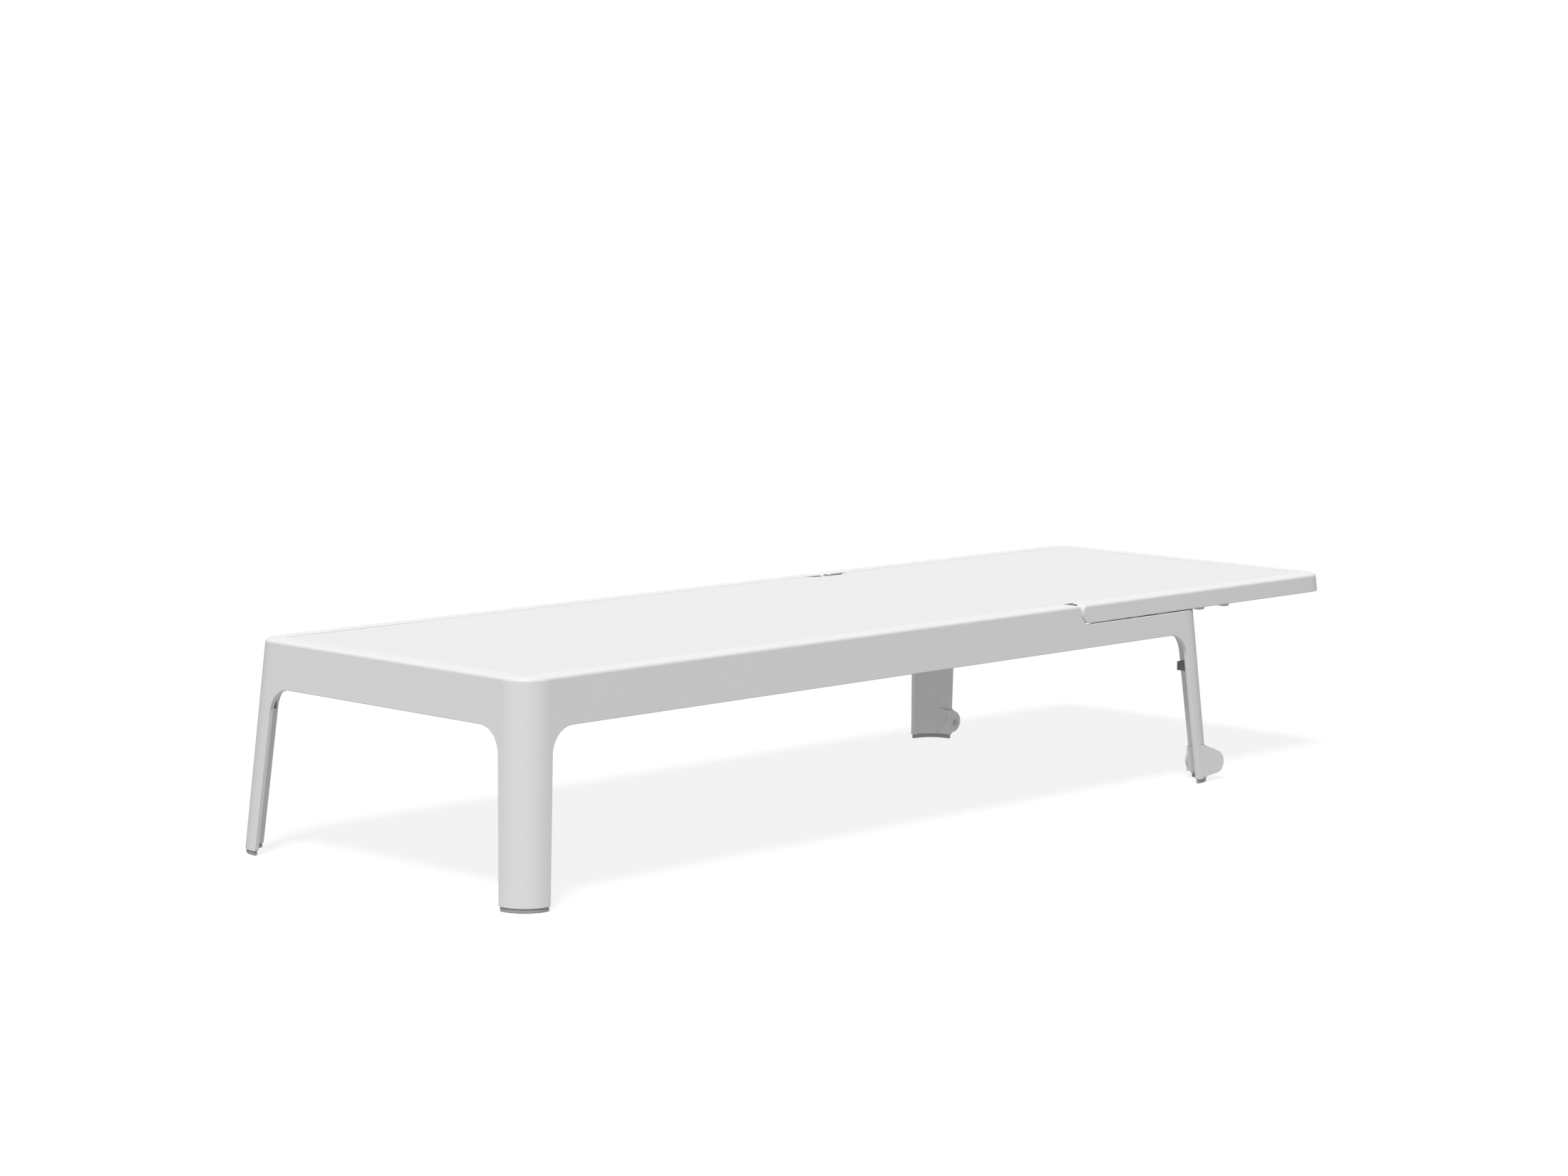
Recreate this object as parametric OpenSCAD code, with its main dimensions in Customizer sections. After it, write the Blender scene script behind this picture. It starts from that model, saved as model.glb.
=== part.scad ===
// Reclining sun lounger: a moulded leg frame with a stretched mesh seat, a hinged backrest that
// lies on the frame's rear ledge, a swinging prop whose bar runs in two racks, and two rollers.
// X runs from the foot end to the head end, Y across, Z up. The origin is the middle of the floor.

/* [Overall] */
// Length of the top, from the foot edge to the head edge
top_len = 1995; // [1700:5:2100]
// Width of the top
top_w = 640; // [560:5:740]
// Height of the top rim above the floor
top_h = 345; // [300:1:400]
// Outward lean of every outer face, sideways run per unit of height
lean_ratio = 0.074; // [0.05:0.002:0.1]
// Radius of the vertical corners
corner_r = 48; // [40:1:60]
// Radius of the top's outer edge
top_r = 5.5; // [4:0.5:7]

/* [Leg frame] */
// Length of the leg frame's top, from the foot edge to its rear face
frame_len = 1620; // [1560:5:1680]
// Height of the arches' crowns above the floor
arch_h = 270; // [230:1:285]
// Width of each leg plate, along the side and across the end
leg_w = 55; // [50:1:70]
// Radius where a leg meets the apron
arch_r = 44; // [25:1:60]
// Thickness of the moulded walls
wall = 8.4; // [6:0.2:10]
// Width of the rim round the mesh
rim_w = 32; // [32:1:38]
// Distance from the foot edge to the first tube under the seat
brace_first = 497; // [470:1:520]
// Distance from one seat tube to the next
brace_pitch = 335; // [320:1:345]
// Height of the pads under the legs
pad_h = 7.5; // [5:0.5:10]

/* [Backrest] */
// Distance from the foot edge to the backrest's hinge
hinge_at = 1303; // [1285:1:1320]
// Depth of the backrest's rails
rail_h = 32.5; // [30:0.5:36]
// Gap between the rails and the leg frame
rail_gap = 2; // [1.5:0.1:4]
// Distance from the backrest's hinge to the prop's pivot, and from there to the prop's bar
prop_len = 230; // [224:1:236]
// Distance between two notches of a rack
notch_pitch = 72.5; // [62:0.5:73]

/* [Mesh] */
// Thickness of the mesh
mesh_t = 1.4; // [1:0.1:2]
// Depth of the mesh's upper face below the rim
mesh_drop = 2.2; // [2.1:0.1:3]
// Diameter of the rods that hold the mesh in the rims
rod_d = 6; // [5:0.5:6]

/* [Rollers] */
// Distance of the rollers' axle behind the leg frame's top rear edge
axle_back = 30; // [28:1:32]
// Height of the rollers' axle
axle_h = 29.5; // [28:0.5:32]
// Diameter of the rollers
roller_d = 32; // [28:1:32]

/* [Hidden] */
sheet = 0.01;             // thickness of the slices that a leaning block is spanned between
over = 1;                 // how far a cut runs past what it cuts
run_fit = 0.05;           // radial clearance between a shaft and its hole
seat_fit = 0.1;           // clearance of a part that is fixed in place
round_fn = 96;            // facets of round features
block_fn = 56;            // facets of the leaning blocks' corners
edge_steps = 4;           // steps across the rounded top edge
lean_angle = atan(lean_ratio);

// Places along the lounger
foot_x = lean_ratio * (top_h - pad_h) / 2 - (top_len + lean_ratio * rail_h) / 2;
head_x = foot_x + top_len;
rear_x = foot_x + frame_len;
hinge_x = foot_x + hinge_at;
pivot_x = hinge_x + prop_len;
hinge_z = top_h - rail_h / 2;
notch_r = rail_h / 2 + rail_gap;
ledge_z = hinge_z - notch_r;
crest_r = rail_h / 2;

// Rim, from the outside inwards
rim_t = 16;               // depth of the rim
lip_w = 2 * rod_d;               // width of the groove under the rim's lip
lip_t = 1.8;              // thickness of the lip
groove_h = rod_d + 1;           // height of the groove
rim_y = top_w / 2 - rim_w;
groove_y = rim_y + lip_w;
mesh_top = top_h - mesh_drop;
rod_y = groove_y - rod_d / 2 - 0.3;
rod_z = top_h - lip_t - groove_h / 2;
mesh_hem = 0.53;          // from the mesh's edge to the rod at the mesh's underside
mesh_y = rod_y - mesh_hem - sqrt(pow(rod_d / 2, 2) - pow(mesh_top - mesh_t - rod_z, 2));
mesh_gap = 14;            // clear length of mesh on each side of the hinge line
mesh_corner = corner_r - rim_w + rod_d;

// Inside the ledge, from the rail inwards
rack_t = 12;
rack_y = rim_y - rack_t;
lug_t = 12;
lug_y = rim_y - 2 - lug_t;
lug_r = 9;
bracket_t = 7;
bracket_y = rack_y - 3 - bracket_t;
arm_t = 8;
arm_h = 14;
eye_t = 10;
arm_y = bracket_y - 2 - eye_t / 2;
shelf_y = bracket_y - 4;
shelf_z = 288;
shelf_t = 10;
shelf_ahead = 34;         // how far the shelf reaches past the hinge towards the foot end
hinge_pin_d = 10;
bush_d = 16;
bush_len = 12;
prop_pin_d = 8;
eye_d = 20;
prop_bush_d = 12;
sleeve_d = 12.4;
bar_d = 10;
slot_gap = 0.4;

// Racks
rack_from = prop_len - 38;
rack_to = 2 * prop_len + 18;
rack_up = 10;
rack_down = 12;
first_notch = 2 * prop_len - 42;
notch_count = 4;
notch_depth = 4.5;
hump = [-8, 6, 20, 30];  // places along a hump, measured from its notch
hump_h = 15;
hump_room = 0.3;          // clear space around a hump where it lies over the rear apron

// Legs, rollers and small parts
pad_inset = 1.4;
ear_r = 20;
ear_back = 25;
ear_h = 33;
ear_top = 73;
ear_foot = pad_h + 2;
ear_inset = 0.15;         // the ears lie this much under the leaning face
ear_t = wall - 0.6;
inner_ear_top = 57;
inner_ear_foot = 12;
inner_ear_t = 5;
outer_y = top_w / 2 + lean_ratio * (top_h - axle_h);
inner_ear_y = outer_y - leg_w - 3;
well_gap = 1.2;
well_skin = 3;
axle_d = 8;
axle_x = rear_x + axle_back;
axle_end = outer_y - wall / 2;
well_end = outer_y - wall - 1.4;
roller_w = well_end - inner_ear_y - inner_ear_t - 3;
roller_y = inner_ear_y + inner_ear_t + 1.5 + roller_w / 2;
tyre_t = 3;
tyre_w = 26;
bumper_w = 30;
bumper_h = 16;
bumper_foot = [24, 232];  // length along the lounger and height of its lower face
bumper_head = [37, 200];
screw_d = 4;
brace_d = 25;
brace_z = arch_h + 14;
brace_t = 1.5;
brace_count = 3;
socket_t = 14;
ledge_brace_in = 15;      // from the ledge brace's ends to the rim's outer edges
ledge_brace_size = [30, top_w - 2 * ledge_brace_in, 11.5];
bracket_len = 44;
bracket_t_foot = 4;       // thickness of a bracket's foot
bracket_hole = bracket_len / 2 - 6;
bracket_hole_y = bracket_y + bracket_t / 2 - 1;
head_t = 3;               // thickness of a screw's head
head_sink = 0.6;          // how deep the head of a bumper's screw lies in the rubber
screw_bite = 4.5;         // how far a bumper's screw runs into the leg's wall
screw_side = 8;           // distance of that screw from the bumper's inner end
back_brace_d = 18;
head_brace_s = (rack_to + top_len - rim_w - hinge_at) / 2;
hinge_brace_s = 60;

// Outward shift of the outer faces at height z
function lean(z) = lean_ratio * (top_h - z);

// Point where the line from p touches the circle round c, on the side given by +1 or -1
function touch(p, c, r, side) =
    let (d = norm(c - p), a = atan2(c[1] - p[1], c[0] - p[0]) + side * asin(r / d))
    p + sqrt(d * d - r * r) * [cos(a), sin(a)];

// Rounded rectangle between two x values
module plan(x0, x1, half_w, r) {
    translate([x0 + r, -half_w + r]) square([x1 - x0 - 2 * r, 2 * (half_w - r)]);
    translate([x0, -half_w + r]) square([x1 - x0, 2 * (half_w - r)]);
    translate([x0 + r, -half_w]) square([x1 - x0 - 2 * r, 2 * half_w]);
    for (x = [x0 + r, x1 - r], y = [-half_w + r, half_w - r])
        translate([x, y]) circle(r, $fn = block_fn);
}

// Block with rounded corners whose faces lean out downwards, its top edge rounded by edge_r
module leaning_block(x0, x1, half_w, r, z0, z1, edge_r = 0) {
    hull() {
        translate([0, 0, z0])
            linear_extrude(sheet) plan(x0 - lean(z0), x1 + lean(z0), half_w + lean(z0), r);
        for (i = [0 : edge_r > 0 ? edge_steps : 0]) {
            a = 90 * i / edge_steps;
            z = z1 - edge_r * (1 - sin(a));
            out = lean(z) - edge_r * (1 - cos(a));
            translate([0, 0, z - sheet])
                linear_extrude(sheet) plan(x0 - out, x1 + out, half_w + out, r - edge_r * (1 - cos(a)));
        }
    }
}

// Side profile pushed through the full width
module across(half_w = top_w) {
    translate([0, half_w, 0]) rotate([90, 0, 0]) linear_extrude(2 * half_w) children();
}

// Round bar along Y between two y values
module bar_y(x, z, y0, y1, d) {
    translate([x, y0, z]) rotate([-90, 0, 0]) cylinder(d = d, h = y1 - y0, $fn = round_fn);
}

// A copy on each side
module both_sides() {
    children();
    mirror([0, 1, 0]) children();
}

// Arch between two legs, as an upright outline
module arch(half_span) {
    hull() {
        for (s = [-1, 1])
            translate([s * (half_span + lean(arch_h) - arch_r), arch_h - arch_r])
                circle(arch_r, $fn = round_fn);
        polygon([[-half_span - lean(-over), -over], [half_span + lean(-over), -over], [0, arch_h / 2]]);
    }
}

// Rear ledge that the backrest's rails lie in, as an upright outline
module ledge_cut() {
    difference() {
        union() {
            translate([hinge_x - notch_r - crest_r, hinge_z])
                square([frame_len, top_h - hinge_z + over]);
            translate([hinge_x, ledge_z]) square([frame_len, top_h]);
            translate([hinge_x, hinge_z]) circle(notch_r, $fn = round_fn);
        }
        translate([hinge_x - notch_r - crest_r, top_h - crest_r]) circle(crest_r, $fn = round_fn);
    }
}

// Ear that carries a roller, as an upright outline that grows from the leg between two heights
module ear_outline(root_x, foot_z, top_z) {
    top = [root_x + lean(top_z), top_z];
    foot = [root_x + lean(foot_z), foot_z];
    centre = [rear_x + ear_back, ear_h];
    polygon([top - [wall / 2, 0], top, touch(top, centre, ear_r, 1), centre,
        touch(foot, centre, ear_r, -1), foot, foot - [wall / 2, 0]]);
    translate(centre) circle(ear_r, $fn = round_fn);
}

// Groove under the lip of the rim
module rim_groove(x0, x1) {
    translate([0, 0, rod_z - groove_h / 2])
        linear_extrude(groove_h) plan(x0, x1, groove_y, corner_r - rim_w + lip_w);
}

// Outer ear, in the plane of the leaning side
module outer_ear() {
    translate([0, top_w / 2, top_h])
        rotate([90 + lean_angle, 0, 0])
            translate([0, -top_h, ear_inset])
                linear_extrude(ear_t) ear_outline(rear_x - corner_r, ear_foot, ear_top);
}

// Inner ear, and the thicker foot of the end plate that the roller is let into
module inner_ear() {
    translate([0, inner_ear_y + inner_ear_t, 0])
        rotate([90, 0, 0])
            linear_extrude(inner_ear_t) ear_outline(rear_x - 1, inner_ear_foot, inner_ear_top);
    translate([axle_x - roller_d / 2 - well_gap - well_skin, inner_ear_y, inner_ear_foot])
        cube([wall, leg_w - 2, inner_ear_top - inner_ear_foot]);
}

// Shelf, hinge lug and end rib inside the ledge
module inner_ledge() {
    translate([0, 0, shelf_z])
        linear_extrude(shelf_t)
            intersection() {
                plan(foot_x + over, rear_x - over, top_w / 2 - over, corner_r - over);
                translate([hinge_x - shelf_ahead, shelf_y]) square([frame_len, top_w]);
            }
    translate([hinge_x - lug_r, lug_y, shelf_z]) cube([2 * lug_r, lug_t, hinge_z - shelf_z]);
    bar_y(hinge_x, hinge_z, lug_y, lug_y + lug_t, 2 * lug_r);
}

// Middle of a bumper, sx being -1 at the foot end and 1 at the head end
function bumper_x(sx, size) =
    foot_x + frame_len / 2 + sx * (frame_len / 2 + lean(size[1]) - wall - size[0] / 2 + over);
function bumper_y(size) = top_w / 2 + lean(size[1]) - wall - bumper_w / 2 + over;

// Where the shaft of a bumper's screw starts, and where it ends inside the leg's wall
function bumper_screw_x(sx, size) =
    bumper_x(sx, size) - sx * (size[0] / 2 - screw_side);
function bumper_screw_y(size) = bumper_y(size) - bumper_w / 2 + head_t + head_sink;
// Depth of a leg's rounded inner corner at a distance d from its end plate
function corner_in(d) = let (r = corner_r - wall) r - sqrt(r * r - pow(r - d, 2));
function bumper_screw_end(size) = top_w / 2 + lean(size[1]) - wall
    - corner_in(size[0] - over - screw_side) + screw_bite;
bumper_places = [[-1, bumper_foot], [1, bumper_head]];

module base_frame() {
    color("whitesmoke")
    difference() {
        union() {
            difference() {
                leaning_block(foot_x, rear_x, top_w / 2, corner_r, pad_h, top_h, top_r);
                leaning_block(foot_x + wall, rear_x - wall, top_w / 2 - wall, corner_r - wall,
                    -over, top_h - rim_t);
                translate([foot_x + frame_len / 2, 0]) across() arch(frame_len / 2 - leg_w);
                rotate([0, 0, 90]) across(top_len) arch(top_w / 2 - leg_w);
                translate([0, 0, ledge_z - over])
                    linear_extrude(top_h) plan(foot_x + rim_w, rear_x - wall, rim_y, corner_r - rim_w);
                rim_groove(foot_x + rim_w - lip_w, rear_x);
                across() ledge_cut();
            }
            both_sides() inner_ledge();
            both_sides() outer_ear();
            both_sides() inner_ear();
        }
        both_sides() {
            translate([hinge_x, rack_y + rack_t + hump_room, hinge_z])
                rotate([90, 0, 0]) linear_extrude(rack_t + 2 * hump_room) humps(hump_room);
            for (s = [-1, 1])
                translate([pivot_x + s * bracket_hole, bracket_hole_y, shelf_z - over])
                    cylinder(d = screw_d + 2 * seat_fit, h = shelf_t + 2 * over, $fn = round_fn);
            for (place = bumper_places)
                bar_y(bumper_screw_x(place[0], place[1]), place[1][1] + bumper_h / 2,
                    bumper_y(place[1]), bumper_screw_end(place[1]) + seat_fit,
                    screw_d + 2 * seat_fit);
            bar_y(hinge_x, hinge_z, lug_y - over, lug_y + lug_t + over, hinge_pin_d + 2 * seat_fit);
            bar_y(axle_x, axle_h, inner_ear_y + inner_ear_t, well_end, roller_d + 2 * well_gap);
            bar_y(axle_x, axle_h, inner_ear_y - over, axle_end, axle_d + 2 * seat_fit);
        }
    }
}

// Pad under one leg: sx is -1 at the foot end and 1 at the head end, sy is 1 on the left
module leg_pad(sx, sy) {
    half = frame_len / 2 + lean(pad_h);
    middle = foot_x + frame_len / 2;
    color("dimgray")
    linear_extrude(pad_h)
        intersection() {
            difference() {
                plan(middle - half + pad_inset, middle + half - pad_inset,
                    top_w / 2 + lean(pad_h) - pad_inset, corner_r - pad_inset);
                plan(middle - half + wall - pad_inset, middle + half - wall + pad_inset,
                    top_w / 2 + lean(pad_h) - wall + pad_inset, corner_r - wall + pad_inset);
            }
            translate([middle + sx * (half - leg_w / 2 + pad_inset),
                sy * (top_w / 2 + lean(pad_h) - leg_w / 2 + pad_inset)])
                square([leg_w, leg_w], center = true);
        }
}

// Rubber block in the inner corner of a left leg, which the next lounger of a stack rests on
module bumper(sx, size) {
    x = bumper_x(sx, size);
    screw_x = bumper_screw_x(sx, size);
    z = size[1];
    color("dimgray")
    difference() {
        intersection() {
            translate([x, bumper_y(size), z + bumper_h / 2])
                cube([size[0], bumper_w, bumper_h], center = true);
            leaning_block(foot_x + wall + seat_fit, rear_x - wall - seat_fit,
                top_w / 2 - wall - seat_fit, corner_r - wall, z - over, z + bumper_h + over);
        }
        bar_y(screw_x, z + bumper_h / 2, 0, top_w, screw_d + 2 * seat_fit);
        bar_y(screw_x, z + bumper_h / 2, 0, bumper_screw_y(size) + seat_fit, 2 * (screw_d + seat_fit));
    }
}

// Pan-head screw along Y, its head towards the middle of the lounger
module screw_y(x, z, y, len) {
    bar_y(x, z, y, y + len, screw_d);
    bar_y(x, z, y - head_t, y, 2 * screw_d);
}

module bumper_screws() {
    color("silver")
    for (place = bumper_places)
        both_sides()
            screw_y(bumper_screw_x(place[0], place[1]), place[1][1] + bumper_h / 2,
                bumper_screw_y(place[1]), bumper_screw_end(place[1]) - bumper_screw_y(place[1]));
}

// Round tube across the lounger
module cross_tube(x, z, half_len, d) {
    color("silver")
    difference() {
        bar_y(x, z, -half_len, half_len, d);
        bar_y(x, z, -half_len - over, half_len + over, d - 2 * brace_t);
    }
}

function brace_x(i) = foot_x + brace_first + brace_pitch * i;
socket_y = top_w / 2 - wall + lean(brace_z + brace_d / 2 + 4) - socket_t - seat_fit;

module seat_brace(i) {
    cross_tube(brace_x(i), brace_z, socket_y + socket_t - 5, brace_d);
}

module brace_sockets() {
    socket_d = brace_d + 8;
    color("whitesmoke")
    for (i = [0 : brace_count - 1])
        both_sides()
            difference() {
                bar_y(brace_x(i), brace_z, socket_y, socket_y + socket_t, socket_d);
                bar_y(brace_x(i), brace_z, socket_y - over, socket_y + socket_t - 4,
                    brace_d + 2 * seat_fit);
            }
}

// Flat box tube under the two shelves, which ties the sides together below the prop's pivot
module ledge_brace() {
    middle = [pivot_x, 0, shelf_z - seat_fit - ledge_brace_size[2] / 2];
    color("silver")
    difference() {
        translate(middle) cube(ledge_brace_size, center = true);
        translate(middle)
            cube(ledge_brace_size + [-2 * brace_t, 2 * over, -2 * brace_t], center = true);
        both_sides()
            for (s = [-1, 1])
                translate([pivot_x + s * bracket_hole, bracket_hole_y, middle[2]])
                    cylinder(d = screw_d + 2 * seat_fit, h = ledge_brace_size[2], $fn = round_fn);
    }
}

// Flat mesh between two x values, cut square at the hinge and rounded at the far end
module mesh_sheet(x0, x1, cut_x, cut_side) {
    color("white")
    translate([0, 0, mesh_top - mesh_t])
        linear_extrude(mesh_t)
            intersection() {
                plan(x0, x1, mesh_y, mesh_corner);
                translate([cut_side < 0 ? cut_x - top_len : cut_x, -top_w / 2])
                    square([top_len, top_w]);
            }
}

module seat_mesh() {
    mesh_sheet(foot_x + top_w / 2 - mesh_y, rear_x, hinge_x - mesh_gap, -1);
}

module backrest_mesh() {
    mesh_sheet(foot_x, head_x - top_w / 2 + mesh_y, hinge_x + mesh_gap, 1);
}

// Rod along X in the side groove, on the left for side 1
module side_rod(x0, x1, side) {
    color("gainsboro")
    translate([x0, side * rod_y, rod_z])
        rotate([0, 90, 0]) cylinder(d = rod_d, h = x1 - x0, $fn = round_fn);
}

// Rod across the foot or head groove
module end_rod(x) {
    color("gainsboro") bar_y(x, rod_z, corner_r - rod_y, rod_y - corner_r, rod_d);
}

module hinge_pins() {
    color("silver")
    both_sides() {
        bar_y(hinge_x, hinge_z, lug_y, rim_y + bush_len, hinge_pin_d);
        bar_y(hinge_x, hinge_z, lug_y - 3, lug_y, 1.5 * hinge_pin_d);
    }
}

// Bracket that carries the prop's pivot, screwed down on the inner shelf
module prop_bracket() {
    color("silver")
    difference() {
        union() {
            translate([pivot_x - bracket_len / 2, shelf_y, shelf_z + shelf_t])
                cube([bracket_len, bracket_y + bracket_t - shelf_y, bracket_t_foot]);
            translate([pivot_x - eye_d / 2, bracket_y, shelf_z + shelf_t])
                cube([eye_d, bracket_t, hinge_z - shelf_z - shelf_t]);
            bar_y(pivot_x, hinge_z, bracket_y, bracket_y + bracket_t, eye_d);
        }
        bar_y(pivot_x, hinge_z, bracket_y - over, bracket_y + bracket_t + over,
            prop_pin_d + 2 * seat_fit);
        for (s = [-1, 1])
            translate([pivot_x + s * bracket_hole, bracket_hole_y, shelf_z + shelf_t - over])
                cylinder(d = screw_d + 2 * seat_fit, h = bracket_t_foot + 2 * over, $fn = round_fn);
    }
}

// Screws through the brackets and the shelves into the ledge brace
module bracket_screws() {
    shaft = bracket_t_foot + shelf_t + 2 * brace_t;
    color("silver")
    both_sides()
        for (s = [-1, 1])
            translate([pivot_x + s * bracket_hole, bracket_hole_y, shelf_z + shelf_t + bracket_t_foot]) {
                translate([0, 0, -shaft]) cylinder(d = screw_d, h = shaft, $fn = round_fn);
                cylinder(d = 1.6 * screw_d, h = head_t, $fn = round_fn);
            }
}

module prop_pins() {
    pin_from = arm_y - eye_t / 2 - 1;
    color("silver")
    both_sides() {
        bar_y(pivot_x, hinge_z, pin_from, bracket_y + bracket_t, prop_pin_d);
        bar_y(pivot_x, hinge_z, pin_from - 3, pin_from, 1.5 * prop_pin_d);
    }
}

module roller_axles() {
    color("silver")
    both_sides() {
        bar_y(axle_x, axle_h, inner_ear_y, axle_end - seat_fit, axle_d);
        bar_y(axle_x, axle_h, inner_ear_y - 2, inner_ear_y, 1.5 * axle_d);
    }
}

// Small rubber stops on the shelf that the racks come down on
module rest_buffers() {
    buffer_d = 9;
    color("dimgray")
    both_sides()
        translate([hinge_x + hinge_brace_s + 80, rack_y + rack_t + 8, shelf_z + shelf_t])
            cylinder(d = buffer_d, h = hinge_z - rail_h / 2 - shelf_z - shelf_t - 0.3,
                $fn = round_fn);
}

// Side outline of the backrest's rails, with their round hinge end
module rail_outline() {
    translate([hinge_x, top_h - rail_h]) square([head_x - hinge_x + 2 * corner_r, rail_h]);
    translate([hinge_x, hinge_z]) circle(rail_h / 2, $fn = round_fn);
}

module backrest_frame() {
    skin = 6;
    inner_skin = 5;
    hollow_x = hinge_x + rail_h / 2;
    color("whitesmoke")
    difference() {
        intersection() {
            leaning_block(hinge_x - 2 * corner_r - rail_h, head_x, top_w / 2, corner_r,
                top_h - rail_h - over, top_h, top_r);
            across() rail_outline();
        }
        translate([0, 0, top_h - rail_h - over])
            linear_extrude(rail_h + 2 * over)
                plan(hinge_x - top_w, head_x - rim_w, rim_y, corner_r - rim_w);
        rim_groove(hinge_x - top_w, head_x - rim_w + lip_w);
        intersection() {
            difference() {
                leaning_block(foot_x, head_x - skin, top_w / 2 - skin, corner_r - skin,
                    top_h - rail_h - 2 * over, top_h - rim_t);
                translate([0, 0, top_h - rail_h - 3 * over])
                    linear_extrude(rail_h)
                        plan(foot_x, head_x - rim_w + inner_skin, rim_y + inner_skin,
                            corner_r - rim_w + inner_skin);
            }
            translate([hollow_x, -top_w, 0]) cube([top_len, 2 * top_w, top_h]);
        }
        both_sides() {
            bar_y(hinge_x, hinge_z, rim_y - over, rim_y + bush_len, bush_d + 2 * seat_fit);
            for (s = [hinge_brace_s, head_brace_s])
                bar_y(hinge_x + s, hinge_z, rim_y - over, rim_y + inner_skin + over,
                    back_brace_d + 2 * seat_fit);
        }
    }
}

module hinge_bushes() {
    color("dimgray")
    both_sides()
        difference() {
            bar_y(hinge_x, hinge_z, rim_y, rim_y + bush_len, bush_d);
            bar_y(hinge_x, hinge_z, rim_y - over, rim_y + bush_len + over,
                hinge_pin_d + 2 * run_fit);
        }
}

function notch_s(i) = first_notch - notch_pitch * i;

// Outlines of a rack's humps, grown by room
module humps(room) {
    for (i = [0 : notch_count - 1])
        polygon([[notch_s(i) + hump[0] - room, -rack_down],
            [notch_s(i) + hump[1] - room, -rack_down - hump_h - room],
            [notch_s(i) + hump[2] + room, -rack_down - hump_h - room],
            [notch_s(i) + hump[3] + room, -rack_down]]);
}

// Outline of a rack along the backrest, s measured from the hinge
module rack_outline() {
    slot_r = sleeve_d / 2 + slot_gap;
    slot_from = notch_s(notch_count - 1);
    difference() {
        union() {
            translate([rack_from - 14, -rack_down]) square([rack_to - rack_from + 14, rack_down + rack_up]);
            humps(0);
        }
        translate([slot_from, -slot_r]) square([2 * prop_len - slot_from, 2 * slot_r]);
        translate([slot_from, 0]) circle(slot_r, $fn = round_fn);
        translate([2 * prop_len, 0]) circle(slot_r, $fn = round_fn);
        for (i = [0 : notch_count - 1])
            translate([notch_s(i), -notch_depth]) circle(slot_r, $fn = round_fn);
    }
}

function rack_screw_s() = [rack_from - 4, rack_to - 6];

module rack() {
    color("whitesmoke")
    difference() {
        translate([hinge_x, rack_y + rack_t - seat_fit, hinge_z])
            rotate([90, 0, 0]) linear_extrude(rack_t - seat_fit) rack_outline();
        for (s = rack_screw_s())
            bar_y(hinge_x + s, hinge_z, rack_y - over, rack_y + rack_t, screw_d + 2 * seat_fit);
    }
}

module rack_screws() {
    color("silver")
    both_sides()
        for (s = rack_screw_s()) screw_y(hinge_x + s, hinge_z, rack_y, rack_t - seat_fit);
}

module backrest_brace(s) {
    cross_tube(hinge_x + s, hinge_z, rim_y + 4, back_brace_d);
}

module prop_frame() {
    color("silver")
    difference() {
        union() {
            bar_y(pivot_x + prop_len, hinge_z, -rack_y - rack_t + 2, rack_y + rack_t - 2, bar_d);
            both_sides() {
                translate([pivot_x, arm_y - arm_t / 2, hinge_z - arm_h / 2])
                    cube([prop_len, arm_t, arm_h]);
                bar_y(pivot_x, hinge_z, arm_y - eye_t / 2, arm_y + eye_t / 2, eye_d);
                bar_y(pivot_x + prop_len, hinge_z, arm_y - eye_t / 2, arm_y + eye_t / 2, arm_h + 3);
            }
        }
        both_sides()
            bar_y(pivot_x, hinge_z, arm_y - eye_t, arm_y + eye_t, prop_bush_d + 2 * seat_fit);
    }
}

module prop_sleeves() {
    color("dimgray")
    both_sides()
        difference() {
            bar_y(pivot_x + prop_len, hinge_z, rack_y, rack_y + rack_t - 2, sleeve_d);
            bar_y(pivot_x + prop_len, hinge_z, rack_y - over, rack_y + rack_t, bar_d + 2 * run_fit);
        }
}

module prop_bushes() {
    color("dimgray")
    both_sides()
        difference() {
            bar_y(pivot_x, hinge_z, arm_y - eye_t / 2, arm_y + eye_t / 2, prop_bush_d);
            bar_y(pivot_x, hinge_z, arm_y - eye_t, arm_y + eye_t, prop_pin_d + 2 * run_fit);
        }
}

// Hub of a roller on the left side
module roller_hub() {
    flange_w = (roller_w - tyre_w) / 2;
    color("gainsboro")
    difference() {
        union() {
            bar_y(axle_x, axle_h, roller_y - roller_w / 2, roller_y + roller_w / 2,
                roller_d - 2 * tyre_t);
            for (s = [-1, 1])
                bar_y(axle_x, axle_h, roller_y + s * (roller_w - flange_w) / 2 - flange_w / 2,
                    roller_y + s * (roller_w - flange_w) / 2 + flange_w / 2, roller_d - 2);
        }
        bar_y(axle_x, axle_h, 0, top_w, axle_d + 2 * run_fit);
    }
}

// Soft band of a roller on the left side
module roller_tyre() {
    color("dimgray")
    difference() {
        bar_y(axle_x, axle_h, roller_y - tyre_w / 2 + seat_fit, roller_y + tyre_w / 2 - seat_fit,
            roller_d);
        bar_y(axle_x, axle_h, 0, top_w, roller_d - 2 * tyre_t + 2 * seat_fit);
    }
}

seat_rod_x0 = foot_x + corner_r + 10;
seat_rod_x1 = hinge_x - notch_r - crest_r - 20;
back_rod_x0 = hinge_x + rail_h + 20;
back_rod_x1 = head_x - corner_r - 10;
end_rod_in = top_w / 2 - rod_y;

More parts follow.
